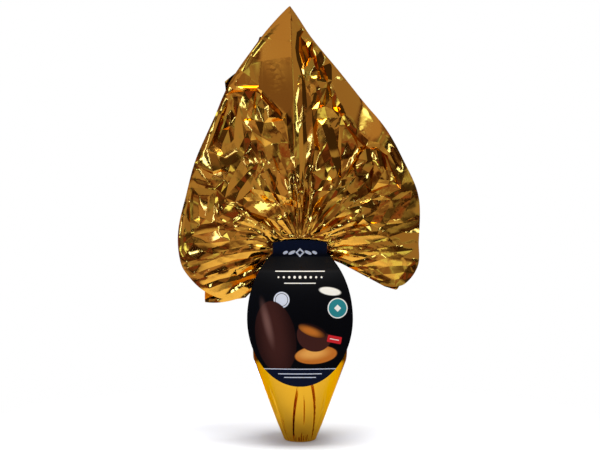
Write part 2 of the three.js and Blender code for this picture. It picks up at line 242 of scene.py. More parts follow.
class Shader:
    def __init__(self, owner):
        owner.use_nodes = True
        self.tree = owner.node_tree
        self.tree.nodes.clear()

    def node(self, kind, settings=None, values=None, out=0):
        node = self.tree.nodes.new(kind)
        for name, setting in (settings or {}).items():
            setattr(node, name, setting)
        for key, value in (values or {}).items():
            if isinstance(value, Socket):
                self.tree.links.new(value.link, node.inputs[key])
            else:
                node.inputs[key].default_value = value
        return Socket(self, node.outputs[out])

    def place(self):
        # the point's place on the object, in metres
        return self.node("ShaderNodeTexCoord", out="Object")

    def axes(self, vector):
        return [self.node("ShaderNodeSeparateXYZ", {}, {"Vector": vector}, out=i) for i in range(3)]

    def blend(self, mask, first, second):
        return self.node("ShaderNodeMix", {"data_type": "RGBA"}, {0: mask, 6: first, 7: second}, out=2)

    def cells(self, vector, scale, out="Distance"):
        return self.node("ShaderNodeTexVoronoi", {}, {"Vector": vector, "Scale": scale}, out)

    def noise(self, vector, scale, detail=2.0):
        return self.node("ShaderNodeTexNoise", {}, {"Vector": vector, "Scale": scale, "Detail": detail})

    def finish(self, kind, shader):
        output = self.tree.nodes.new(kind)
        self.tree.links.new(shader.link, output.inputs["Surface"])


def colour(red, green, blue):
    # screen values from 0 to 255, as the renderer's linear ones
    values = [value / 255 for value in (red, green, blue)]
    return tuple(v / 12.92 if v < 0.04 else ((v + 0.055) / 1.055) ** 2.4 for v in values) + (1.0,)


filmLook = {
    "crumpled": {"gold": (0.68, 0.345, 0.042, 1), "deepGold": (0.66, 0.32, 0.038, 1), "coat": 0.06,
                 "crinkleDepth": 0.08},
    "taut": {"gold": (0.63, 0.33, 0.02, 1), "deepGold": (0.63, 0.33, 0.02, 1), "coat": 0.0,
             "crinkleDepth": 0.0096},
    "edgeGold": (0.95, 0.6, 0.16, 1),  # what the mirror turns to where it is seen edge on
    "roughness": 0.085,
    "coatRoughness": 0.06,
    "crinkleSize": 5.5,  # of the finest facets, in millimetres like the next two
    "patchSize": 45,  # of the places that have them
    "toneSize": 70,
    "apart": (0.31, 0.17, 0.53),  # between the two scatters of cells that make them, in metres
}


def filmMaterial(kind):
    look = filmLook[kind]
    material = bpy.data.materials.new("gold_film_" + kind)
    s = Shader(material)
    place = s.place()
    size, patchSize, toneSize = (filmLook[part] * mm for part in ("crinkleSize", "patchSize", "toneSize"))
    gold = s.blend(s.noise(place, 1 / toneSize).ramp(0.35, 0.65), look["gold"], look["deepGold"])
    # the difference of two scatters of cells is flat between straight creases
    shifted = s.node("ShaderNodeVectorMath", {"operation": "ADD"}, {0: place, 1: filmLook["apart"]})
    first, second = s.cells(place, 1 / size), s.cells(shifted, 1 / size)
    crinkle = (first * first - second * second) * s.noise(place, 1 / patchSize).ramp(0.42, 0.62)
    normal = s.node("ShaderNodeBump", {}, {
        "Height": crinkle, "Strength": 1.0, "Distance": look["crinkleDepth"] * mm})
    surface = s.node("ShaderNodeBsdfPrincipled", {}, {
        "Base Color": gold, "Metallic": 1.0, "Roughness": filmLook["roughness"],
        "Specular Tint": filmLook["edgeGold"], "Coat Weight": look["coat"],
        "Coat Roughness": filmLook["coatRoughness"], "Normal": normal})
    s.finish("ShaderNodeOutputMaterial", surface)
    return material


goldFilm = filmMaterial("crumpled")
tautFilm = filmMaterial("taut")
print("film materials made")


# the shape of the card, which the film has to stay behind, and of the film round the egg, in millimetres
card = {
    "thickness": 0.8,
    "foot": cardLow.z,
    "waist": 156,  # height of the widest place
    "halfWidth": cardHigh.x,
    "upperReach": 90,  # from there to where the egg shape would end
    "tabHalfWidth": 33.5,
    "tabArch": 3,
    "standoff": 16.5,  # from the neck's axis to the back of the tab
    "clearance": 1.6,
    "wrap": 0.0025,  # how fast it bends back round the egg
}
card["tabTop"] = cardHigh.z - card["tabArch"]

body = {
    "eggRadius": 62,
    "waist": 140,
    "topReach": 92,
    "footRadius": 20.5,
    "footFlat": 18.5,
    "footRounding": 2.5,
    "coneTop": 98,
    "coneTopRadius": 57.6,
    "coneStep": 55.2,  # the egg's own radius there
    "coneBlend": 18,
    "gather": 212,
    "gatherCurve": 1.35,
    "neckRadius": 9,
    "neckBase": 236,
    "neckTop": 250,
}


def bodyRadius(z):
    b = body
    z = np.asarray(z, float)
    foot = mix(b["footFlat"], b["footRadius"], np.sqrt(np.clip(z / b["footRounding"], 0, 1)))
    up = (z - b["footRounding"]) / (b["coneTop"] - b["footRounding"])
    cone = mix(b["footRadius"], b["coneTopRadius"], up)
    egg = b["eggRadius"] * np.sqrt(np.maximum(0, 1 - ((z - b["waist"]) / b["topReach"]) ** 2))
    step = 1 - smooth(b["coneTop"], b["coneTop"] + b["coneBlend"], z)
    egg = egg + (b["coneTopRadius"] - b["coneStep"]) * step
    shoulder = b["eggRadius"] * math.sqrt(1 - ((b["gather"] - b["waist"]) / b["topReach"]) ** 2)
    t = np.clip((z - b["gather"]) / (b["neckBase"] - b["gather"]), 0, 1)
    gather = b["neckRadius"] + (shoulder - b["neckRadius"]) * (1 - t) ** b["gatherCurve"]
    upper = np.where(z < b["gather"], egg, gather)
    return np.where(z < b["footRounding"], foot, np.where(z < b["coneTop"], cone, upper))


def cardHalfWidth(z):
    reach = np.where(z < card["waist"], card["waist"] - card["foot"], card["upperReach"])
    share = np.maximum(0, 1 - ((z - card["waist"]) / reach) ** 2)
    egg = card["halfWidth"] * np.sqrt(share)
    return np.where(z > card["waist"], np.maximum(egg, card["tabHalfWidth"]), egg)


def cardTabTop(x):
    return card["tabTop"] + card["tabArch"] * (1 - (x / card["tabHalfWidth"]) ** 2)


def cardBack(x, z):
    behind = np.where(z < body["waist"], body["eggRadius"], bodyRadius(np.minimum(z, body["neckBase"])))
    standoff = np.maximum(behind + card["clearance"], card["standoff"])
    return -standoff + card["wrap"] * x * x


def besideCard(x, z):
    # how far a point is outside the card's outline, seen from the front
    above = z - cardTabTop(np.clip(x, -30, 30))
    return np.maximum(above, np.abs(x) - cardHalfWidth(np.minimum(z, card["tabTop"])))


crown = {
    "start": -28,  # directions of the fan's two ends, in degrees from the right
    "end": 226,
    "innerRadius": 6,
    "farthest": 300,
    "tipDirection": 92.5,
    # direction and reach from the neck
    "outline": [
        (-28, 116), (-26, 129), (-22, 141), (-12, 150), (0, 149), (20, 158), (40, 165), (60, 184),
        (70, 201), (80, 228), (87, 257), (92.5, 296), (98, 272), (105, 243), (114, 215), (125, 187),
        (140, 167), (160, 154), (190, 151), (200, 142), (209, 132), (217, 120), (226, 98)],
    "halfDepth": 25,
    "lobeHalfDepth": 11,
    "edgeHalfDepth": 1.8,
    "edgeWave": 7,
    "spreadAtNeck": 0.72,  # share of the directions' angles that is left where the film is gathered
    "spreadFrom": 4,
    "spreadFull": 44,
    "driftRadius": 150,  # how far out a pleat's drift is measured
    "widthRadius": 100,  # and its width
    "rimStep": 6.35,  # degrees between facets along the rim
    "tries": 14000,  # at placing the corner of a facet
    "film": 0.4,  # thickness at the rim
    "padding": 3.6,  # and what is added further in, where it doesn't show
    "leastLift": 1.2,  # how near its outer and its inner face come to the fan's middle
    "innerLift": 0.6,
}
crownReach = curveThrough(crown["outline"], crown["tipDirection"])


def fanSpread(radius):
    return mix(crown["spreadAtNeck"], 1, smooth(crown["spreadFrom"], crown["spreadFull"], radius))


def fanPoint(direction, radius):
    angle = np.radians(90 + (direction - 90) * fanSpread(radius))
    return radius * np.cos(angle), fanHeight + radius * np.sin(angle)


def fanReach(direction, corners):
    # the outline's reach, with corners (direction, height, width on either side) that stick out past it
    reach = crownReach(direction)
    for at, height, before, after in corners:
        away = direction - at
        reach = reach + height * np.maximum(0, 1 - np.where(away > 0, away / after, -away / before))
    return reach


def fanPlace(x, z, corners):
    # the direction and the share of the reach at a point of the fan
    radius = np.hypot(x, z - fanHeight)
    direction = 90 + np.degrees(np.arctan2(-x, z - fanHeight)) / fanSpread(radius)
    return direction, (radius - crown["innerRadius"]) / (fanReach(direction, corners) - crown["innerRadius"])


def fanOutline(corners):
    ends = crown["start"], crown["end"]
    turns = np.sort(np.concatenate([np.linspace(*ends, 640), [corner[0] for corner in corners]]))
    rim = np.stack(fanPoint(turns, fanReach(turns, corners)), -1)
    neckTurns = np.linspace(ends[1], ends[0], 40)
    neck = np.stack(fanPoint(neckTurns, np.full(40, float(crown["innerRadius"]))), -1)
    across = np.linspace(0, 1, 90)[1:-1]
    sides = [np.stack(fanPoint(end, mix(crown["innerRadius"], crownReach(end), across)), -1) for end in ends]
    return np.concatenate([rim, sides[1][::-1], neck, sides[0]])


# creases of the front: x, z and height along each one, with flat facets of film between them
frontCreases = {
    "scallop roll": [(-76, 439, 1.6), (-65, 440, 1.8), (-51, 440, 1.8)],
    "tip ridge": [(-13, 531, 0), (-9, 521, 0.6), (-4, 509, 1.4), (-6, 488, 3), (-4, 473, 4),
        (2, 453, 3.9)],
    "tip ridge foot": [(2, 462, 2), (7, 440, 1.2), (9, 413, 1.2)],
    "tip bend": [(-62, 466, 3), (-47, 472, 3.6), (-29, 475, 4), (-13, 477, 4.2), (-4, 473, 4)],
    "hem": [(-20, 525, 0.2), (-39, 501, 1.6), (-58, 476, 3), (-71, 456, 2.4), (-82, 440, 1.6)],
    "orange fold": [(-62, 466, 3.6), (-61, 450, 3), (-51, 440, 1.8)],
    "upper scallop top": [(-82, 435, 2.8), (-69, 437, 4.6), (-54, 437, 4.8), (-47, 434, 2.6),
        (-34, 421, 3), (-21, 405, 3.6)],
    "upper scallop foot": [(-82, 432, -1), (-69, 433, 0), (-55, 434, 0), (-48, 430, -1), (-37, 417, -0.5),
        (-23, 401, 0)],
    "left pleat 1": [(-83, 426, 0), (-85, 411, 2), (-87, 390, 1), (-86, 369, -1)],
    "left pleat 2": [(-77, 427, 0.5), (-80, 402, -2.5), (-82, 374, -2)],
    "left pleat 3": [(-71, 428, 0), (-75, 416, 2), (-72, 396, 1)],
    "left pleat 4": [(-63, 423, -3), (-65, 408, -2.5), (-66, 399, -1)],
    "left pleat 5": [(-49, 427, 0.5), (-53, 415, 3.5), (-56, 397, 3), (-59, 383, 3.5)],
    "left pleat 6": [(-58, 416, -2), (-61, 400, -1.5)],
    "gold quad": [(-72, 396, 1), (-56, 397, 3)],
    "gold quad foot": [(-72, 396, 1), (-66, 384, 1), (-59, 383, 3.5)],
    "folded piece": [(-47, 423, 3), (-39, 415, 4), (-31, 407, 4.5)],
    "folded piece foot": [(-47, 423, 3), (-44, 411, 1.5), (-39, 400, 2.5), (-28, 400, 3)],
    "dark under it": [(-44, 394, -2.5), (-34, 395, -3), (-21, 397, -1.5)],
    "chain": [(-59, 383, 3.5), (-47, 375, 3.5), (-34, 368, 3), (-26, 351, 3), (-18, 335, 2),
        (-12, 318, 1)],
    "chain shadow": [(-54, 373, -2.5), (-43, 364, -3), (-34, 352, -3), (-28, 335, -3)],
    "dark hollow": [(-60, 362, -3), (-64, 347, -2)],
    "bright spot": [(-47, 359, -1), (-40, 347, 1.5), (-47, 336, 3), (-38, 331, 2.5)],
    "left edge fold": [(-89, 423, 1.6), (-98, 404, 1.8), (-107, 380, 1.8), (-115, 361, 1.6)],
    "left edge shadow": [(-92, 415, -1), (-101, 390, -2), (-108, 368, -2.5)],
    "left edge band": [(-89, 406, 1.5), (-96, 386, 2.5), (-102, 372, 1.5)],
    "left notch": [(-89, 386, -2), (-96, 370, -3), (-98, 361, -2)],
    "flat panel": [(-114, 357, 2), (-104, 356, 1.5), (-93, 350, 2), (-86, 342, 2.5), (-98, 337, 2),
        (-108, 334, 2.5), (-114, 357, 2)],
    "flat panel shadow": [(-108, 330, -1.5), (-97, 334, -1.5), (-89, 332, -1)],
    "long ridge": [(-69, 375, 1.5), (-77, 359, 2.5), (-86, 342, 2.5), (-93, 323, 2), (-98, 308, 1)],
    "long valley": [(-61, 372, -2), (-70, 352, -3), (-80, 335, -3), (-89, 318, -2)],
    "red ridge": [(-51, 344, 1.2), (-64, 334, 1.5), (-78, 318, 1.5), (-93, 301, 1.2)],
    "red valley": [(-54, 335, -1), (-65, 323, -1.3), (-75, 309, -1.3), (-80, 297, -1)],
    "red second": [(-49, 331, 1.5), (-59, 320, 2), (-66, 312, 1.5)],
    "small triangle": [(-125, 318, 1.5), (-114, 321, 3.5), (-105, 313, 2)],
    "frame": [(-134, 314, 2.5), (-119, 313, 2.5), (-103, 310, 2.5), (-107, 292, 2.5), (-110, 270, 2),
        (-124, 268, 1.5), (-133, 274, 2), (-134, 314, 2.5)],
    "frame inside": [(-126, 304, -1), (-113, 304, -1), (-118, 275, -1.5), (-126, 277, -1),
        (-126, 304, -1)],
    "left strip": [(-139, 308, 1), (-143, 280, 1.5), (-145, 255, 1.5)],
    "left strip shadow": [(-140, 292, -1.5), (-138, 271, -2), (-135, 254, -2)],
    "lip": [(-70, 302, 2), (-59, 312, 4.5), (-47, 310, 5), (-31, 306, 4.5), (-15, 301, 4), (-1, 296, 3)],
    "under lip": [(-65, 297, -1.8), (-53, 297, -3), (-37, 296, -3.4), (-18, 294, -3.2), (-2, 291, -1)],
    "eye rim": [(-70, 291, 0.6), (-59, 283, 2.9), (-47, 279, 4.2), (-31, 275, 5), (-18, 278, 3.2),
        (-11, 287, -0.4)],
    "diagonal valley": [(-66, 284, -1), (-53, 277, -2), (-34, 266, -2), (-18, 255, -1.5), (-6, 250, 0)],
    "diagonal ridge": [(-63, 279, 1.5), (-51, 271, 2), (-37, 261, 2.5), (-20, 253, 2)],
    "brown flat": [(-96, 294, 1.5), (-82, 290, 2), (-74, 281, 1.5), (-83, 275, 0.5), (-96, 281, 1),
        (-96, 294, 1.5)],
    "scallop a": [(-105, 272, 2.5), (-101, 261, -1), (-97, 253, 1)],
    "scallop b": [(-97, 269, 3), (-91, 259, 2.5), (-82, 263, 0), (-74, 269, 2.5), (-67, 276, 3)],
    "scallop c": [(-77, 260, -2), (-61, 263, -2), (-47, 265, 1.5), (-32, 259, 1)],
    "left shelf": [(-132, 245, 2.6), (-110, 245, 2.8), (-86, 248, 2.4), (-65, 249, 1.6), (-47, 249, 1.2),
        (-26, 249, 1)],
    "left shelf shadow": [(-142, 221, -1.6), (-126, 225, -1.8), (-108, 231, -1.4), (-88, 237, -1),
        (-66, 242, -0.6), (-47, 244, -0.4)],
    "left lobe edge": [(-145, 245, 1), (-143, 229, 1)],
    "lobe 1": [(-141, 214, 0.8), (-123, 218, 1.5), (-98, 228, 2), (-74, 233, 2), (-51, 236, 1.5)],
    "lobe 2": [(-135, 205, -0.8), (-113, 214, -1.5), (-88, 222, -1.8), (-61, 227, -1.5)],
    "lobe 3": [(-129, 199, 0.8), (-110, 206, 1.5), (-88, 212, 1.8), (-61, 221, 1.5)],
    "lobe 4": [(-120, 193, -0.8), (-101, 200, -1.5), (-78, 205, -1.5), (-56, 214, -1)],
    "lobe 5": [(-114, 188, 0.8), (-96, 195, 1.5), (-74, 200, 1.5), (-59, 206, 1)],
    "lobe 6": [(-104, 183, -0.5), (-86, 190, -1.5), (-66, 199, -1)],
    "lobe 7": [(-96, 179, 0.5), (-83, 184, 1.2), (-70, 191, 1)],
    "tip valley 1": [(0, 504, -0.6), (1, 486, -0.8), (5, 470, 0)],
    "tip ridge 1": [(1, 503, 1), (3, 486, 3), (6, 470, 3.5)],
    "tip valley 2": [(7, 492, -1.5), (11, 476, -0.5)],
    "tip ridge 2": [(8, 494, 3), (10, 489, 5), (14, 478, 4)],
    "tip valley 3": [(15, 485, 0), (18.5, 477, -1), (20, 470, -0.5), (22, 460, 0), (25, 450, 0.5)],
    "tip ridge 3": [(16.5, 485.5, 2), (20, 477.5, 4), (21.5, 470.5, 3.8), (24, 460, 3.2), (26, 450, 3.5)],
    "tip valley 4": [(28, 466, -0.5), (31, 458, 0), (33, 450, 0.5)],
    "tip ridge 4": [(29, 465, 4), (32, 458, 4), (35, 450, 3)],
    "tip crumple foot": [(12, 453, 2), (21, 446, 3), (34, 445, 2.5)],
    "gold facet": [(16, 475, 4), (5, 460, 3.4), (12, 456, 2.4), (18, 466, 3), (16, 475, 4)],
    "yellow line": [(13, 443, 1), (20, 440, 2.5), (26, 437, 4), (33, 438, 4)],
    "band": [(40, 448, 0.5), (44, 433, 1), (50, 420, 1.3), (56, 406, 1.6), (64, 394, 2), (75, 382, 2),
        (85, 372, 1.8), (99, 369, 1.5), (110, 358, 1), (119, 341, 0.5), (126, 318, 0), (139, 310, 0)],
    "band foot": [(37, 440, -2.5), (40, 428, -2.8), (46, 415, -2.8), (52, 402, -2.6), (59, 390, -2.4),
        (70, 377, -2.6), (82, 366, -2.4), (96, 363, -2.2), (107, 353, -2.4), (114, 337, -2.6),
        (121, 318, -2)],
    "red panel": [(20, 433, 1), (25, 423, -2), (27, 417, -1)],
    "yellow patch": [(17, 402, 2), (22, 412, 5), (31, 414, 6), (40, 411, 5.6), (50, 407, 4)],
    "yellow patch foot": [(21, 399, -2), (34, 401, -2.2), (49, 401, -1)],
    "diamond left": [(27, 391, 3), (32, 374, 3.5), (39, 350, 3.5), (47, 328, 3), (51, 314, 2)],
    "valley by it": [(20, 384, -2), (25, 359, -3), (32, 337, -2.5), (39, 323, -1)],
    "diamond valley": [(42, 386, -2), (47, 366, -3), (51, 347, -2.5), (51, 332, -1.5)],
    "diamond right": [(56, 391, 1), (64, 379, 2.5), (72, 364, 3), (71, 356, 3), (63, 342, 3),
        (51, 324, 2.5)],
    "diamond facet": [(51, 369, 0.5), (60, 372, 2), (63, 352, 1)],
    "notch": [(76, 361, -2.5), (71, 350, -2), (66, 342, -2)],
    "right pleat 1": [(81, 362, 2), (83, 347, 2.5)],
    "right pleat 2": [(87, 362, -2), (91, 341, -3), (89, 310, -3)],
    "right pleat 3": [(94, 361, 1.5), (98, 344, 2.5), (98, 324, 2)],
    "right pleat 4": [(101, 358, -1.5), (107, 337, -2.5), (112, 323, -1.5)],
    "right pleat 5": [(107, 351, 2), (113, 335, 2.5), (120, 318, 2)],
    "gold facets": [(69, 341, 1.5), (77, 337, 2.5), (85, 332, 2.5), (81, 317, 2), (85, 307, 1.5),
        (72, 310, 0.5), (70, 328, 0), (69, 341, 1.5)],
    "star a": [(125, 312, 3), (110, 318, 1), (96, 320, 1)],
    "star b": [(125, 312, 3), (108, 311, 2), (91, 307, 1)],
    "star c": [(74, 291, 2), (88, 299, 3), (105, 304, 2.5), (123, 306, 2)],
    "right corner 1": [(88, 271, -1), (96, 286, -1.5), (101, 298, -1)],
    "right corner 2": [(99, 270, 2.5), (108, 286, 2.5), (113, 299, 1)],
    "right corner 3": [(112, 274, -2), (119, 288, -2.5), (126, 301, -1.5)],
    "right corner 4": [(125, 275, 2), (134, 287, 2.5), (139, 301, 1.5)],
    "white triangle": [(50, 263, 2), (58, 275, 4), (60, 260, 2), (50, 263, 2)],
    "ring": [(64, 266, 3.5), (69, 272, 4), (78, 275, 3), (85, 269, 2.5), (89, 259, 3.5), (76, 261, 3.5),
        (64, 266, 3.5)],
    "ring inside": [(71, 268, -1), (81, 266, -1)],
    "right shelf": [(27, 247, 1), (44, 249, 1.5), (61, 252, 2.2), (80, 254, 2.2), (96, 255, 2),
        (110, 263, 1.2), (129, 270, 1)],
    "right shelf shadow": [(49, 241, -1), (67, 242, -1.8), (88, 245, -2), (110, 252, -1.5),
        (132, 259, -1)],
    "right lobe 1": [(43, 227, 1.5), (59, 232, 2), (74, 233, 1.2), (96, 238, 1.5), (120, 242, 1.8),
        (142, 245, 1)],
    "right lobe 2": [(64, 222, -0.5), (80, 226, -1), (101, 232, -1.5), (123, 234, -1.5), (141, 236, -1)],
    "right lobe 3": [(55, 215, 1.5), (74, 216, 2), (93, 222, 1.5), (108, 227, 1.8), (128, 227, 1.8),
        (140, 225, 1)],
    "right lobe 4": [(74, 210, -0.5), (93, 212, -1), (110, 216, -1.2), (128, 217, -1.2),
        (136, 216, -0.5)],
    "right lobe 5": [(86, 204, 1), (102, 206, 1.5), (118, 207, 1.5), (131, 209, 0.8)],
    "right lobe 6": [(104, 198, -0.5), (118, 199, -0.8), (125, 201, -0.5)],
    "middle 1": [(13, 427, 3), (15, 411, 3.5)],
    "middle 2": [(9, 413, 1.2), (7, 396, 0.6), (9, 372, 0.4), (7, 341, 0.6), (4, 308, 0.4)],
    "middle 3": [(2, 453, 3.9), (3, 417, 4), (3, 394, 4), (4, 366, 3.8), (3, 335, 3.4), (1, 308, 1.8)],
    "middle 4": [(-4, 416, 2.6), (-2, 396, 1.2), (-1, 366, 1.2), (-1, 337, 1.2), (-1, 310, 0.8)],
    "middle 5": [(-10, 415, 3.7), (-9, 395, 2.6), (-8, 366, 2.4), (-6, 335, 2.2), (-5, 317, 1.2)],
    "middle 6": [(-17, 406, 3.5), (-16, 389, 1.4), (-14, 369, 1), (-11, 347, 1)],
    "middle 9": [(15, 396, 3.2), (15, 372, 3), (12, 347, 2.6)],
    "middle 7": [(16, 386, 3), (18, 359, 3), (15, 332, 3), (12, 313, 2.5)],
    "middle 8": [(16, 301, 0), (22, 310, 2), (28, 323, 3)],
    "neck ray 1": [(16, 254, 1), (28, 269, 3), (43, 279, 3.5), (59, 287, 3)],
    "neck ray 2": [(16, 260, -1), (29, 281, -2.5), (44, 294, -3), (55, 303, -2)],
    "neck ray 3": [(13, 266, 1.5), (25, 290, 3), (37, 309, 3)],
    "neck ray 4": [(12, 271, -1.5), (17, 291, -3), (23, 299, -2)],
}
# direction, drift, height, width and reach of each pleat below the tip
frontPleats = [
    (82, -1, -2, 6, 120), (86, 1, 2, 6, 110), (89.5, 0.5, -1.5, 5, 95), (92.8, 0, 2, 5, 95),
    (95.8, 0, -1.6, 5, 95), (99, 2, 2, 5, 110),
]


# where the front lies smooth
calmPlaces = {
    "tipLeft": (436, 442),  # the heights between which the tip's two panels turn flat
    "tipRight": (449, 454),
    "lowerPanel": {"edge": -2, "top": 440, "lean": 0.22, "corner": (-54, 437), "heights": (395, 442)},
    "band": {"fromRim": (36, 28), "from": (18, 30), "to": (77, 70)},  # millimetres, and directions
    "leftPanel": (-120, 290, 17, 26),  # x, z, half width and half height
    "ovals": [(-84, 282, 16, 12), (-42, 287, 24, 10)],
    "most": 0.97,
    "pleated": (91.5, 6, 268),  # direction, reach to each side and least height of the long middle pleats
}


def calmFront(x, z):
    # 1 where the film lies smooth: the tip's two panels, the rolled band on the right, places on the left
    c = calmPlaces
    radius = np.hypot(x, z - fanHeight)
    direction = 90 + np.degrees(np.arctan2(-x, z - fanHeight))
    tip = np.where(x < -2, smooth(*c["tipLeft"], z), smooth(*c["tipRight"], z))
    lower = c["lowerPanel"]
    panel = smooth(5, 0, x - lower["edge"] - (lower["top"] - z) * lower["lean"])
    panel = panel * smooth(-4, 4, z - lower["corner"][1] + (x - lower["corner"][0]))
    panel = panel * (z > lower["heights"][0]) * (z < lower["heights"][1])
    band = smooth(*c["band"]["fromRim"], crownReach(direction) - radius)
    band = band * smooth(*c["band"]["from"], direction) * smooth(*c["band"]["to"], direction)
    at, up, wide, tall = c["leftPanel"]
    left = smooth(1.15, 0.9, np.maximum(np.abs(x - at) / wide, np.abs(z - up) / tall))
    calm = tip + panel + band + 0.8 * left
    for at, up, wide, tall in c["ovals"]:
        calm = calm + smooth(1.2, 0.8, np.hypot((x - at) / wide, (z - up) / tall))
    return np.clip(calm, 0, c["most"])


def calmBack(x, z):
    return 0.8 * smooth(90, 40, np.hypot(x - 30, z - 430))


crownFront = {
    "side": -1,
    "seed": 40,
    "spacing": 1.6,  # between the mesh's points
    "calm": calmFront,
    "pleats": frontPleats,
    "pleatStep": 9,
    "pleatHeight": 2.2,
    "pleatWidth": 6,
    "broadPleats": (22, 158, 1.9),  # between these directions, by this much
    "namedPleats": (80, 101),  # none by chance between these
    "looseFolds": 0,
    "creases": [[(x, z, 0.95 * height) for x, z, height in line] for line in frontCreases.values()],
    "looseGap": 13.5,
    "looseSlope": 0.13,
    "neckDrop": 9,
    "swell": 1.6,
    "rise": 0.5,
    "fall": 1,
    "thin": 1.2,
    "corners": [],
    # places with finer facets: x, z and reach
    "crumpled": [
        (25, 458, 22), (64, 310, 24), (-51, 350, 22), (2, 395, 16), (40, 405, 22), (72, 318, 20),
        (-55, 300, 18), (-85, 285, 16), (95, 255, 26), (100, 222, 34), (-100, 215, 36)],
    "crumpledGap": 0.45,
    "facets": [(29, 0.08, 0.3)],  # size, slope, and how much they come in patches
    # broad places that lean: x, z, reach, and slope to the right and upwards
    "sags": [(-45, 360, 24, 0, 0.22), (52, 350, 26, -0.08, 0.22), (100, 322, 28, 0, 0.2)],
}
crownBack = {
    "side": 1,
    "seed": 90,
    "spacing": 2.0,
    "calm": calmBack,
    "pleats": [],
    "pleatStep": 11,
    "pleatHeight": 5,
    "pleatWidth": 10,
    "broadPleats": (0, 0, 1),
    "namedPleats": (0, 0),
    "looseFolds": 30,
    "creases": [],
    "looseGap": 16,
    "looseSlope": 0.16,
    "neckDrop": 0,
    "swell": 4,
    "rise": 0.7,
    "fall": 0.7,
    "thin": 1,
    "corners": [(212.6, 14, 5, 10), (-26.8, 9, 2, 2.6), (115.2, 8, 4.6, 1.0), (101.2, 3, 0.7, 0.8)],
    "crumpled": [(-60, 330, 40), (50, 420, 40), (-100, 250, 30), (90, 300, 40)],
    "crumpledGap": 0.6,
    "facets": [(62, 0.12, 0.1), (29, 0.1, 0.3)],
    "sags": [(-30, 360, 40, 0, 0.2), (70, 320, 36, 0.1, 0.15)],
}


def foldedFan(settings):
    # more pleats and folds than the named ones, by chance
    random = np.random.default_rng(settings["seed"] + 5)
    pleats, folds = list(settings["pleats"]), []
    fromHere, toHere, broad = settings["broadPleats"]
    low, high = settings["namedPleats"]
    at = crown["start"] + 3
    while at < crown["end"] - 2:
        wide = broad if fromHere < at < toHere else 1
        middle = at + random.uniform(-2.5, 2.5) * wide
        if not low < middle < high:
            height = random.choice([-1, 1]) * random.uniform(0.4, 1) * settings["pleatHeight"] * wide
            width = random.uniform(0.4, 1) * settings["pleatWidth"] * wide
            pleats.append((middle, random.uniform(-4, 4), height, width, random.uniform(60, 150)))
        at += settings["pleatStep"] * wide
    for _ in range(settings["looseFolds"]):
        direction = random.uniform(crown["start"], crown["end"])
        x, z = fanPoint(direction, crownReach(direction) * math.sqrt(random.uniform(0.08, 0.85)))
        lean = math.radians(direction + random.normal(0, 38))
        half = random.uniform(10, 38)
        height = random.choice([-1, 1]) * random.uniform(1.5, 4.5)
        across, up = half * math.cos(lean), half * math.sin(lean)
        left, right = random.uniform(4, 22), random.uniform(4, 22)
        folds.append((x - across, z - up, x + across, z + up, height, left, right))
    return pleats, folds


def facetGap(settings, x, z):
    # how far apart the corners of facets by chance are
    share = 0
    for at, up, reach in settings["crumpled"]:
        share = np.maximum(share, smooth(reach * 1.2, reach * 0.6, np.hypot(x - at, z - up)))
    return settings["looseGap"] * mix(1, settings["crumpledGap"], share)


def loosePoints(settings):
    # points along the rim and round the neck, hardly raised, and corners by chance where no crease is near
    random = np.random.default_rng(settings["seed"])
    creases = settings["creases"]
    taken = [point[:2] for line in creases for point in line]
    taken += [((a[0] + b[0]) / 2, (a[1] + b[1]) / 2) for line in creases for a, b in zip(line, line[1:])]
    taken = drawnIn(*np.array(taken or [(0, 0)], float).T)
    loose = []
    for direction in np.arange(crown["start"], crown["end"] + 1, crown["rimStep"]):
        for reach in (1.0, 1.15):
            x, z = fanPoint(direction, crownReach(direction) * reach)
            loose.append((float(x), float(z), random.uniform(-0.6, 0.6)))
    for angle in np.radians(np.arange(-90, 270, 30)):
        for reach in (7, 22):
            loose.append((reach * math.cos(angle), fanHeight + reach * math.sin(angle), 0))
    pleated, eachSide, above = calmPlaces["pleated"]
    for _ in range(crown["tries"]):
        direction = random.uniform(crown["start"], crown["end"])
        x, z = fanPoint(direction, float(crownReach(direction)) * math.sqrt(random.uniform(0.03, 0.92)))
        if settings["side"] < 0:
            if calmFront(x, z) > 0.4 or abs(direction - pleated) < eachSide and above < z:
                continue
        gap = facetGap(settings, x, z) * random.uniform(0.7, 1.4)
        spot = drawnIn(x, z)
        if np.min(np.hypot(*(taken - spot).T)) > gap:
            taken = np.concatenate([taken, [spot]])
            height = random.choice([-1, 1]) * random.uniform(0.3, 1) * gap * settings["looseSlope"]
            loose.append((float(x), float(z), float(height)))
    return loose


for settings in (crownFront, crownBack):
    settings["pleats"], settings["folds"] = foldedFan(settings)
    settings["triangles"], settings["edges"] = trianglesBetween(settings["creases"], loosePoints(settings))


def crownSway(direction, u):
    wave = np.sin(direction * 0.083 + 1) + 0.5 * np.sin(direction * 0.21)
    return crown["edgeWave"] * u ** 3 * wave


def crownBase(settings, direction, u):
    # the sheet's distance from the fan's middle before its folds
    across = (direction - crown["start"]) / (crown["end"] - crown["start"])
    ends = smooth(0, 0.1, across) * (1 - smooth(0.9, 1, across))
    fullness = np.sin(np.pi * np.clip(across, 0, 1)) ** 0.8
    bulge = mix(crown["lobeHalfDepth"], crown["halfDepth"], fullness) * mix(0.5, 1, ends)
    swell = settings["swell"] * u ** settings["rise"] * (1 - u ** settings["fall"]) ** settings["thin"]
    return mix(body["neckRadius"] * 0.8, crown["edgeHalfDepth"], u) + bulge * swell


def pleatHalf(width, radius):
    return width * (0.3 + 0.7 * radius / crown["widthRadius"])


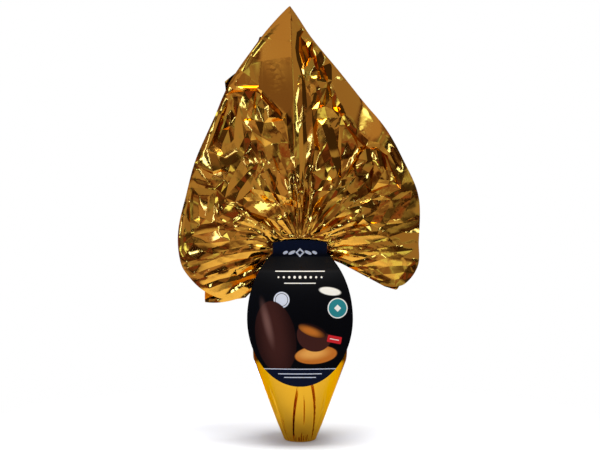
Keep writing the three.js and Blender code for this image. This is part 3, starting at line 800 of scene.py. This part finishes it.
def crownLift(settings, direction, u):
    # how far the sheet stands out from the fan's middle
    front = settings["side"] < 0
    radius = mix(crown["innerRadius"], crownReach(direction), u)
    x, z = fanPoint(direction, radius)
    rough = 1 - settings["calm"](x, z)
    opening = smooth(5, 60, radius) * 0.85 + smooth(4, 20, radius) * 0.15
    rim = 1 - 0.75 * smooth(10, 0, crownReach(direction) - radius)
    lift = crownBase(settings, direction, u)
    if front:
        lift = lift * mix(0.85, 1, smooth(-4, 30, besideCard(x, z)))
    for at, drift, height, width, reach in settings["pleats"]:
        away = np.abs(direction - at - drift * radius / crown["driftRadius"]) * math.pi / 180 * radius
        height = height * (rough if front else 1)
        fade = 1 - smooth(0.5 * reach, reach, radius)
        lift = lift + height * opening * fade * np.maximum(0, 1 - away / pleatHalf(width, radius))
    lift = lift + foldHeight(settings["folds"], x, z) * opening * rim
    for at, up, reach, right, rise in settings["sags"]:
        share = np.exp(-((x - at) ** 2 + (z - up) ** 2) / reach ** 2)
        lift = lift + (right * (x - at) + rise * (z - up)) * share * opening * rim
    lift = lift + heightOver(settings["triangles"], x, z) * opening * rim
    lift = lift + 0.4 * (np.sin(x / 9 + z / 15) + np.sin(z / 11 - x / 17 + 1)) * opening * rim * rough
    # facets that grow outwards and are longest along the pleats
    shrunk = drawnSize * (radius / drawnSize) ** 0.55
    a, b = shrunk * np.cos(np.radians(direction)), shrunk * np.sin(np.radians(direction))
    patch = 0.15 + 0.45 * smooth(0.1, 0.8, np.sin(a / 19 + settings["seed"] * 0.37) * np.sin(b / 15 + 2))
    for at, up, reach in settings["crumpled"]:
        patch = np.maximum(patch, 1.6 * smooth(reach, reach * 0.5, np.hypot(x - at, z - up)))
    for cell, slope, patchy in settings["facets"]:
        share = mix(1, patch, patchy)
        lift = lift + slope * facets(a, b, cell, settings["seed"] + cell) * rough * share * opening * rim
    return np.maximum(lift, crown["leastLift"])


def stepped(line, step):
    # points along a line, no further apart than the step
    parts = []
    for a, b in zip(line, line[1:]):
        parts.append(np.linspace(a, b, int(np.ceil(np.hypot(*(b - a)) / step)), endpoint=False))
    return np.concatenate(parts + [line[-1:]])


def sheetLines(settings):
    # the outline, and what lies inside it of every crease, as closely spaced points
    corners = settings["corners"]
    outline = fanOutline(corners)
    lines = [np.concatenate([outline, outline[:1]])]
    creases = list(settings["edges"])
    for at, drift, height, width, reach in settings["pleats"]:
        radius = np.linspace(10, reach, 12)
        middle = at + drift * radius / crown["driftRadius"]
        for offset in (-1, 0, 1):
            away = np.degrees(offset * pleatHalf(width, radius) / radius)
            creases.append(np.stack(fanPoint(middle + away, radius), -1))
    for crease in creases:
        line = stepped(crease, settings["spacing"] * 1.05)
        direction, u = fanPlace(line[:, 0], line[:, 1], corners)
        inside = (u > 0.01) & (u < 0.985)
        inside &= (direction > crown["start"] + 0.6) & (direction < crown["end"] - 0.6)
        breaks = np.flatnonzero(np.diff(inside.astype(int))) + 1
        parts = zip(np.split(line, breaks), np.split(inside, breaks))
        lines += [part for part, keep in parts if keep[0] and len(part) > 1]
    return lines


def fillBetween(settings, points):
    # points all over the sheet, finer near the neck, but not within half a millimetre or so of those given
    random = np.random.default_rng(settings["seed"] + 1)
    cell, origin = 0.5, np.array((-200, 100))
    taken = np.zeros((900, 1300), bool)
    at = ((np.array(points) - origin) / cell).astype(int)
    for i in (-1, 0, 1):
        for j in (-1, 0, 1):
            taken[at[:, 0] + i, at[:, 1] + j] = True
    radius, fill = crown["innerRadius"] + 0.6, []
    while radius < crown["farthest"]:
        step = min(settings["spacing"], max(0.5, radius * 0.028))
        turn = math.degrees(step / radius)
        turns = np.arange(crown["start"] + 0.4, crown["end"], turn)
        turns = turns[fanReach(turns, settings["corners"]) > radius + 0.6 * step]
        if len(turns):
            turns = turns + random.uniform(-0.25, 0.25, len(turns)) * turn
            spots = np.stack(fanPoint(turns, radius + random.uniform(-0.2, 0.2, len(turns)) * step), -1)
            at = ((spots - origin) / cell).astype(int)
            fill += spots[~taken[at[:, 0], at[:, 1]]].tolist()
        radius += step * 0.9
    return fill


def flatSheet(settings):
    # the sheet's points (x, z) and its triangles, whose sides follow the outline and the creases
    lines = sheetLines(settings)
    points = [point for line in lines for point in line]
    edges, first = [], 0
    for line in lines:
        edges += [(first + i, first + i + 1) for i in range(len(line) - 1)]
        first += len(line)
    points += fillBetween(settings, points)
    result = delaunay_2d_cdt([Vector(p) for p in points], edges, [], 0, 0.01)
    flat, triangles = np.array([tuple(p) for p in result[0]]), np.array(result[2])
    a, b, c = (flat[triangles[:, i]] for i in range(3))
    (bx, bz), (cx, cz) = (b - a).T, (c - a).T
    area = bx * cz - bz * cx
    triangles[area < 0] = triangles[area < 0][:, ::-1]
    direction, u = fanPlace(*((a + b + c) / 3).T, settings["corners"])
    keep = (u > 0) & (u < 1) & (np.abs(area) > 1e-5)
    return flat, triangles[keep & (direction > crown["start"]) & (direction < crown["end"])]


def behindCard(x, y, z, shrink):
    # the front sheet stays behind the card, and clings to the tab's edges
    outside = besideCard(x, z)
    limit = cardBack(x, z) + 0.9 + shrink - np.maximum(0, outside - 0.5) * 0.6
    clinging = 0.7 * smooth(8, 2, outside) * smooth(-9, -3, outside) * smooth(37, 30, np.abs(x)) * (z > 238)
    return np.maximum(mix(y, limit, clinging), limit)


def crownSheet(name, settings):
    # one sheet of film: an outer face, an inner face and a thin edge between
    side = settings["side"]
    flat, triangles = flatSheet(settings)
    if side > 0:
        triangles = triangles[:, ::-1]
    x, z = flat.T
    direction, u = fanPlace(x, z, settings["corners"])
    u = np.clip(u, 0, 1)
    lift = crownLift(settings, direction, u)
    z = z - settings["neckDrop"] * (1 - smooth(4, 62, np.hypot(x, z - fanHeight)))
    layers = []
    for shrink in (0.0, crown["film"] + crown["padding"] * smooth(0, 0.12, 1 - u)):
        y = crownSway(direction, u) + side * np.maximum(lift - shrink, crown["innerLift"])
        if side < 0:
            y = behindCard(x, y, z, shrink)
        layers.append(np.stack([x, y, z], -1))
    count = len(flat)
    sides = {pair for a, b, c in triangles.tolist() for pair in ((a, b), (b, c), (c, a))}
    border = [(i, j) for i, j in sides if (j, i) not in sides]
    faces = triangles.tolist() + (triangles[:, ::-1] + count).tolist()
    faces += [[j, i, i + count, j + count] for i, j in border]
    used = np.unique(np.concatenate([np.array(face) for face in faces]))
    order = np.full(2 * count, -1)
    order[used] = np.arange(len(used))
    faces = [[int(order[i]) for i in face] for face in faces]
    piece = makePiece(name, np.concatenate(layers)[used], faces, goldFilm, crease=20)
    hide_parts("film_wrap")


crownSheet("crown_film_front", crownFront)
print("front of the crown made")
crownSheet("crown_film_back", crownBack)
print("back of the crown made")


wrap = {
    "columns": 420,
    "rows": 190,
    "finerInFront": 34,  # how far the columns are drawn towards the front, in degrees
    # angle from the front at the foot and at the top of the cone, depth, width in degrees (a negative one has
    # its steep side on the right), and the heights between which it runs
    "frontTucks": [(-24, 3, 4.4, 3.6, 3, 84), (48, 10, 4.6, -3.2, 3, 110), (11, 4, 1.8, 2.2, 22, 76),
                   (66, 34, 1.4, 4, 4, 70), (-52, -34, 0.9, 4, 3, 40)],
    # by chance: how many, depth, width in degrees, and the height where one ends or starts
    "sideTucks": {"count": 26, "depth": (0.8, 2.6), "width": (3, 8), "end": (35, 100), "lean": 14,
                  "from": 48, "round": 268},
    "footTucks": {"count": 56, "depth": (0.6, 2.0), "width": (2.5, 5), "end": (9, 20)},
    "gatherTucks": {"count": 30, "depth": (1.2, 3.4), "width": (4, 9), "start": (150, 196), "drift": 6},
    "softWaves": 0.28,
}


def tuck(angle, at, width):
    # a fold with one steep side; a negative width puts that side on the right
    away = ((angle - at + 180) % 360 - 180) * math.copysign(1, width)
    return np.maximum(0, 1 - np.where(away > 0, away, -away / 0.35) / abs(width))


def wrapFilm():
    random = np.random.default_rng(5)
    angle = np.linspace(0, 360, wrap["columns"], endpoint=False)[None, :]
    angle = angle - wrap["finerInFront"] * np.sin(np.radians(angle))
    height = np.concatenate([[0, 0.4, 1.0, 1.8, 2.6], np.linspace(3.4, body["neckTop"], wrap["rows"])])
    height = height[:, None]
    radius = bodyRadius(height) + 0 * angle
    for low, high, depth, width, start, end in wrap["frontTucks"]:
        at = mix(low, high, np.clip(height / 95, 0, 1))
        share = smooth(start - 3, start + 9, height) * (1 - smooth(end * 0.55, end, height))
        radius = radius - depth * share * tuck(angle, at, width)
    tucks = wrap["sideTucks"]
    for i in range(tucks["count"]):
        at = tucks["from"] + tucks["round"] * (i + random.uniform(-0.3, 0.3)) / tucks["count"]
        lean = random.uniform(-tucks["lean"], tucks["lean"])
        depth, end = random.uniform(*tucks["depth"]), random.uniform(*tucks["end"])
        share = smooth(0, 12, height) * (1 - smooth(end * 0.5, end, height))
        at = at + lean * height / 100
        radius = radius - depth * share * tuck(angle, at, random.uniform(*tucks["width"]))
    tucks = wrap["footTucks"]
    for i in range(tucks["count"]):
        at = 360 * (i + random.uniform(-0.3, 0.3)) / tucks["count"]
        depth, end = random.uniform(*tucks["depth"]), random.uniform(*tucks["end"])
        share = smooth(0, 2, height) * (1 - smooth(end * 0.3, end, height))
        width = random.choice([-1, 1]) * random.uniform(*tucks["width"])
        radius = radius - depth * share * tuck(angle, at, width)
    tucks = wrap["gatherTucks"]
    for i in range(tucks["count"]):
        at = 360 * (i + random.uniform(-0.35, 0.35)) / tucks["count"]
        depth, start = random.uniform(*tucks["depth"]), random.uniform(*tucks["start"])
        share = smooth(start, 214, height) * mix(1, 0.3, smooth(216, 240, height))
        drift = random.uniform(-tucks["drift"], tucks["drift"]) * (height - 200) / 40
        radius = radius - depth * share * tuck(angle, at + drift, random.uniform(*tucks["width"]))
    rad = np.radians(angle)
    soft = np.sin(np.cos(rad) * 30 / 7 + height / 26) + np.sin(np.sin(rad) * 30 / 5.5 - height / 31 + 2)
    radius = radius + wrap["softWaves"] * soft * smooth(4, 20, height) * (1 - smooth(200, 230, height))
    radius = np.where(height < 0.2, np.minimum(radius, body["footFlat"]), radius)
    rings = np.stack([radius * np.sin(rad), -radius * np.cos(rad), height + 0 * radius], -1)
    points, faces = loftedLoops(rings)
    piece = makePiece("egg_film", points, faces, tautFilm, crease=50)
    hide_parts("film_wrap")


wrapFilm()
print("film round the egg made")


cardPrint = {
    "black": colour(5, 5, 7),
    "navy": colour(11, 17, 34),
    "silver": colour(196, 198, 204),
    "cream": colour(226, 220, 206),
    "teal": colour(40, 120, 122),
    "chocolate": colour(62, 30, 24),
    "darkChocolate": colour(30, 12, 10),
    "sheen": colour(122, 84, 74),
    "caramel": colour(186, 104, 34),
    "amber": colour(226, 158, 74),
    "red": colour(196, 34, 38),
}


class Print:
    # fields of colour laid one over another on a flat drawing, in millimetres
    def __init__(self, shader, x, z, ground):
        self.s, self.x, self.z, self.paint = shader, x, z, ground

    def turned(self, place, turn):
        dx, dz = self.x - place[0], self.z - place[1]
        c, k = math.cos(math.radians(turn)), math.sin(math.radians(turn))
        return dx * c + dz * k, dz * c - dx * k

    def oval(self, place, size, turn=0, soft=0.25):
        dx, dz = self.turned(place, turn)
        reach = ((dx / size[0]) ** 2 + (dz / size[1]) ** 2) ** 0.5
        edge = soft / min(size)
        return reach.ramp(1 + edge, 1 - edge)

    def bar(self, place, size, turn=0, rounding=0.4, soft=0.2):
        dx, dz = self.turned(place, turn)
        beyondX = (dx.absolute() - (size[0] - rounding)).atLeast(0)
        beyondZ = (dz.absolute() - (size[1] - rounding)).atLeast(0)
        return ((beyondX ** 2 + beyondZ ** 2) ** 0.5).ramp(rounding + soft, rounding - soft)

    def lay(self, mask, paint):
        self.paint = self.s.blend(mask, self.paint, paint)


cardPlaces = {  # x and z, or a height, in millimetres
    "ornament": (0, 233.5),
    "tealDisc": (45, 168),
    "silverDisc": (-22, 178),
    "redTag": (41, 131),
    "navyFrom": 226,  # black turns to navy in the fourteen millimetres above
    "upperRule": 211.5,
    "dots": 204.5,
    "lowerRule": 197.5,
    "footEdge": 95.5,
    "roundTurn": -20,  # of the cut round, in degrees
}


def cardMaterial():
    material = bpy.data.materials.new("printed_card")
    s = Shader(material)
    x, y, z = s.axes(s.place())
    c, at = cardPrint, cardPlaces
    p = Print(s, x / mm, z / mm, c["black"])
    p.lay((p.z - at["navyFrom"]).ramp(0, 14), c["navy"])
    # ornament on the tab: a lozenge between leaves
    p.lay(p.bar(at["ornament"], (4, 4), 45, 0.5), c["silver"])
    p.lay(p.bar(at["ornament"], (2.2, 2.2), 45, 0.3), c["navy"])
    for side in (-1, 1):
        for step, length in ((10, 4.6), (18, 3.2)):
            p.lay(p.oval((side * step, at["ornament"][1]), (length, 1.8), side * -24), c["silver"])
    # rules and dots below it
    p.lay(p.bar((0, at["upperRule"]), (30, 0.55)), c["cream"])
    for i in range(-4, 5):
        size = 1.7 - 0.15 * abs(i)
        p.lay(p.oval((i * 6.5, at["dots"]), (size, size)), c["cream"])
    p.lay(p.bar((0, at["lowerRule"]), (19, 0.55)), c["cream"])
    # a spoonful of cream, two discs
    p.lay(p.oval((36, 188), (13, 4.6), -9, 0.6), c["cream"])
    p.lay(p.oval(at["tealDisc"], (12, 12)), c["cream"])
    p.lay(p.oval(at["tealDisc"], (10.8, 10.8)), c["teal"])
    p.lay(p.bar(at["tealDisc"], (3, 3), 45, 0.4), c["cream"])
    p.lay(p.oval(at["silverDisc"], (9.5, 9.5)), c["silver"])
    ring = p.oval(at["silverDisc"], (7.8, 7.8)) * (1 - p.oval(at["silverDisc"], (7.1, 7.1)))
    p.lay(ring, c["black"])
    # chocolates: a large round-ended one at the left, a pool of caramel and a cut round beside it
    glow = p.oval((-31, 137), (16, 44), 10, 12)
    p.lay(p.oval((-29, 134), (24, 43), 10, 0.4), s.blend(glow, c["darkChocolate"], c["chocolate"]))
    p.lay(p.oval((-39, 150), (3.6, 19), 14, 3.4) * 0.75, c["sheen"])
    pool = p.oval((19, 113), (25, 10.5), 5, 0.5)
    p.lay(pool, s.blend(p.oval((15, 115), (16, 6), 5, 4), c["caramel"], c["amber"]))
    turn = at["roundTurn"]
    lower = (9 - p.turned((17, 134), turn)[1]).ramp(-0.3, 0.3)
    p.lay(p.oval((17, 136), (21, 19), turn, 0.4) * lower, c["chocolate"])
    filling = p.oval((12, 141), (13, 4.5), turn, 3)
    p.lay(p.oval((15, 142), (17.5, 7), turn, 0.5), s.blend(filling, c["darkChocolate"], c["caramel"]))
    # a small tag, and the foot with its rules
    p.lay(p.bar(at["redTag"], (8.5, 4.2), -12, 1.2), c["red"])
    p.lay(p.bar(at["redTag"], (5.5, 0.5), -12, 0.3), c["cream"])
    p.lay((at["footEdge"] - p.z).ramp(-0.2, 0.2), c["navy"])
    for wide, up, half in ((52, 96.2, 0.45), (26, 90.5, 0.5), (19, 86.3, 0.5)):
        p.lay(p.bar((0, up), (wide, half)), c["silver"])
    surface = s.node("ShaderNodeBsdfPrincipled", {}, {
        "Base Color": p.paint, "Roughness": 0.5, "Specular IOR Level": 0.03})
    s.finish("ShaderNodeOutputMaterial", surface)
    return material


def cardLabel():
    turns = np.radians(np.linspace(3, 90, 46, endpoint=False))
    lower = card["waist"] - (card["waist"] - card["foot"]) * np.cos(turns)
    share = card["tabHalfWidth"] / card["halfWidth"]
    tabFoot = card["waist"] + card["upperReach"] * math.sqrt(1 - share ** 2)
    upper = np.linspace(card["waist"], tabFoot, 40, endpoint=False)
    levels = np.concatenate([lower, upper, np.linspace(tabFoot, card["tabTop"], 12)])[:, None]
    x = cardHalfWidth(levels) * np.linspace(-1, 1, 61)[None, :]
    z = levels + (cardTabTop(x) - card["tabTop"]) * smooth(card["tabTop"] - 14, card["tabTop"], levels)
    front = np.stack([x, cardBack(x, z) - card["thickness"], z], -1)
    back = np.stack([x, cardBack(x, z), z], -1)
    points, faces = loftedLoops(np.concatenate([front, back[:, ::-1]], 1))
    piece = makePiece("card_label_print", points, faces, cardMaterial())
    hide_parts("card_label")


cardLabel()
print("card made")


tie = {
    "turns": 2,
    "cord": 0.85,  # radius, in millimetres
    "strand": 0.16,  # how far its strands stand out
    "twists": 44,
    "room": 0.35,  # between the neck and the cord
    "steps": 240,  # in each turn
    "gold": colour(190, 140, 50),
}


def neckTie():
    material = bpy.data.materials.new("gold_cord")
    s = Shader(material)
    surface = s.node("ShaderNodeBsdfPrincipled", {}, {
        "Base Color": tie["gold"], "Metallic": 0.7, "Roughness": 0.35})
    s.finish("ShaderNodeOutputMaterial", surface)
    loops = []
    middle = (tieLow.z + tieHigh.z) / 2
    ring = (tieHigh.x + body["neckRadius"] + tie["room"]) / 2
    section = np.linspace(0, 2 * math.pi, 12, endpoint=False)
    for t in np.linspace(0, 1, tie["steps"] * tie["turns"]):
        turn = 2 * math.pi * tie["turns"] * t
        radius = tie["cord"] + tie["strand"] * np.cos(2 * (section + tie["twists"] * turn / 2))
        out = ring + radius * np.cos(section)
        rise = middle + (t - 0.5) * 2 * tie["cord"] + radius * np.sin(section)
        loops.append(np.stack([out * math.sin(turn), -out * math.cos(turn), rise], -1))
    points, faces = loftedLoops(np.array(loops)[:, ::-1])
    piece = makePiece("neck_cord", points, faces, material)
    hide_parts("neck_tie")


neckTie()
print("tie made")


studio = {  # in metres
    "floorRadius": 0.5,
    "floorFades": 0.16,  # from here out
    "floorTone": (0.85, 0.85, 0.85, 1),
    "lampPlace": Vector((0.1, -0.3, 2.6)),
    "lampAim": Vector((0, 0, 0.2)),
    "lampSize": 1.4,
    "lampPower": 75,
    "cameraPlace": Vector((0, -1.3, 0.2675)),
    "widthInView": 0.75,  # at the egg
    "sensor": 36,  # millimetres
}


def floor():
    material = bpy.data.materials.new("pale_floor")
    s = Shader(material)
    diffuse = s.node("ShaderNodeBsdfDiffuse", {}, {"Color": studio["floorTone"]})
    clear = s.node("ShaderNodeBsdfTransparent")
    x, y, z = s.axes(s.place())
    far = ((x * x + y * y) ** 0.5).ramp(studio["floorFades"], studio["floorRadius"] * 0.95)
    surface = s.node("ShaderNodeMixShader", {}, {0: far, 1: diffuse, 2: clear})
    s.finish("ShaderNodeOutputMaterial", surface)
    radius, turns = studio["floorRadius"], np.linspace(0, 2 * math.pi, 64, endpoint=False)
    mesh = bpy.data.meshes.new("floor")
    mesh.from_pydata([(radius * math.cos(a), radius * math.sin(a), 0) for a in turns], [], [list(range(64))])
    mesh.materials.append(material)
    piece = bpy.data.objects.new("floor", mesh)
    bpy.context.scene.collection.objects.link(piece)


# what the film mirrors: panels of a room round the camera, as degrees to the right of it and above it,
# half width, half height, softness, brightness, and hue (under 1 is more orange, over 1 more yellow)
roomPanels = {
    "left ceiling": (-17, 33, 19, 9, 4, 0.6, 0.8),
    "left ceiling's foot": (-13, 18, 14, 7, 4, 0.26, 0.88),
    "right ceiling": (30, 28, 20, 12, 4, 0.43, 0.92),
    "left wall": (-64, 16, 14, 30, 5, 0.55, 0.9),
    "right wall": (69, 10, 12, 22, 5, 0.5, 1.0),
    "dark corner": (71, 30, 21, 20, 3, 0.06, 1.05),
    "middle": (7, 15, 6, 5, 2, 0.34, 0.82),
    "dark door": (23, 6, 5, 6, 3, 0.1, 1.0),
    "ground": (0, -52, 90, 22, 6, 0.45, 1.0),
    "red box": (-30, -8, 4, 9, 2, 0.25, 0.42),
    "red mat": (12, -17, 9, 7, 2, 0.25, 0.42),
    "red strip": (2, 8, 2.5, 4, 2, 0.3, 0.45),
    "left tube": (-39, 20, 1.6, 13, 1.0, 4.2, 1.0),
    "right tube": (39, 10, 1.5, 8, 1.0, 3.4, 1.0),
    "top lamp": (-3, 45, 8.5, 3.6, 1.5, 2.6, 1.0),
    "yellow mat": (30, -38, 8, 4, 2, 1.0, 1.15),
    "small lamp": (-9, -11, 2.5, 1.8, 0.8, 4.8, 1.0),
    "low lamp": (-45, -38, 4, 6, 1.0, 3.0, 1.0),
    "left lamp": (-40, -4, 4, 3, 1.5, 1.8, 1.0),
}
room = {
    "dimmest": 0.05,
    "objects": 3.6,  # the three scales of the chance patches
    "smallObjects": 6.0,
    "hues": 3.0,
    "turned": (3.1, 1.7, 0.4),
    "roof": (55, 66, 0.9),  # between these heights it goes over to this brightness
    "fill": (0.55, 0.55, 0.55, 1),
    "seen": (1.0, 1.0, 1.0, 1),
}


def sky():
    world = bpy.data.worlds.new("studio")
    bpy.context.scene.world = world
    s = Shader(world)
    direction = s.node("ShaderNodeTexCoord", out="Generated")
    x, y, z = s.axes(direction)
    # behind the egg the room is the same again, mirrored
    azimuth = s.node("ShaderNodeMath", {"operation": "ARCTAN2"}, {0: x, 1: y.absolute()}) * math.degrees(1)
    height = s.node("ShaderNodeMath", {"operation": "ARCSINE"}, {0: z}) * math.degrees(1)

    # chance patches of brightness, with soft ones over them
    turned = s.node("ShaderNodeVectorMath", {"operation": "ADD"}, {0: direction, 1: room["turned"]})
    objects = s.axes(s.cells(turned, room["objects"], "Color"))[0]
    light = room["dimmest"] + objects ** 2.3 * (height.ramp(-18, 24) * 0.55 + 0.2)
    light = light * (s.noise(turned, room["smallObjects"], 1.0).ramp(0.35, 0.65) + 0.5)
    hue = s.noise(turned, room["hues"], 1.0).ramp(0.3, 0.7) * 0.85 + 0.62
    for at, up, wide, tall, soft, bright, panelHue in roomPanels.values():
        across = (azimuth - at).absolute().ramp(wide + soft, wide - soft)
        mask = across * (height - up).absolute().ramp(tall + soft, tall - soft)
        light = light * (1 - mask) + mask * bright
        hue = hue * (1 - mask) + mask * panelHue
    low, high, bright = room["roof"]
    top = height.ramp(low, high)
    light = light * (1 - top) + top * bright

    # dim things look redder in the film than bright ones
    green = (light * 0.6 + 0.62).atMost(1.6) * hue
    blue = ((light * 0.6 + 0.62).atMost(1.1) + ((light - 1) * 1.2).atLeast(0).atMost(3.2)) * hue
    tint = s.node("ShaderNodeCombineXYZ", {}, {"X": 1.0, "Y": green, "Z": blue})
    shade = s.node("ShaderNodeVectorMath", {"operation": "SCALE"}, {0: tint, "Scale": light})
    # matt surfaces get a plain fill, and the camera sees white
    matt = s.node("ShaderNodeLightPath", out="Is Diffuse Ray")
    seen = s.node("ShaderNodeLightPath", out="Is Camera Ray")
    shown = s.blend(seen, s.blend(matt, shade, room["fill"]), room["seen"])
    s.finish("ShaderNodeOutputWorld", s.node("ShaderNodeBackground", {}, {"Color": shown, "Strength": 1.0}))


def lamp():
    light = bpy.data.lights.new("softbox_top", "AREA")
    light.shape = "RECTANGLE"
    light.size = studio["lampSize"]
    light.size_y = studio["lampSize"]
    light.energy = studio["lampPower"]
    softbox = bpy.data.objects.new("softbox_top", light)
    softbox.location = studio["lampPlace"]
    aim = studio["lampAim"] - studio["lampPlace"]
    softbox.rotation_euler = aim.to_track_quat("-Z", "Y").to_euler()
    bpy.context.scene.collection.objects.link(softbox)


def camera():
    lens = bpy.data.cameras.new("camera")
    lens.sensor_width = studio["sensor"]
    lens.lens = studio["sensor"] * -studio["cameraPlace"].y / studio["widthInView"]
    lens.clip_end = 50
    eye = bpy.data.objects.new("camera", lens)
    eye.location = studio["cameraPlace"]
    eye.rotation_euler = (math.pi / 2, 0, 0)
    bpy.context.scene.collection.objects.link(eye)
    bpy.context.scene.camera = eye
    bpy.context.scene.view_settings.view_transform = "Standard"
    bpy.context.scene.view_settings.look = "None"


floor()
sky()
lamp()
camera()
print("studio made")
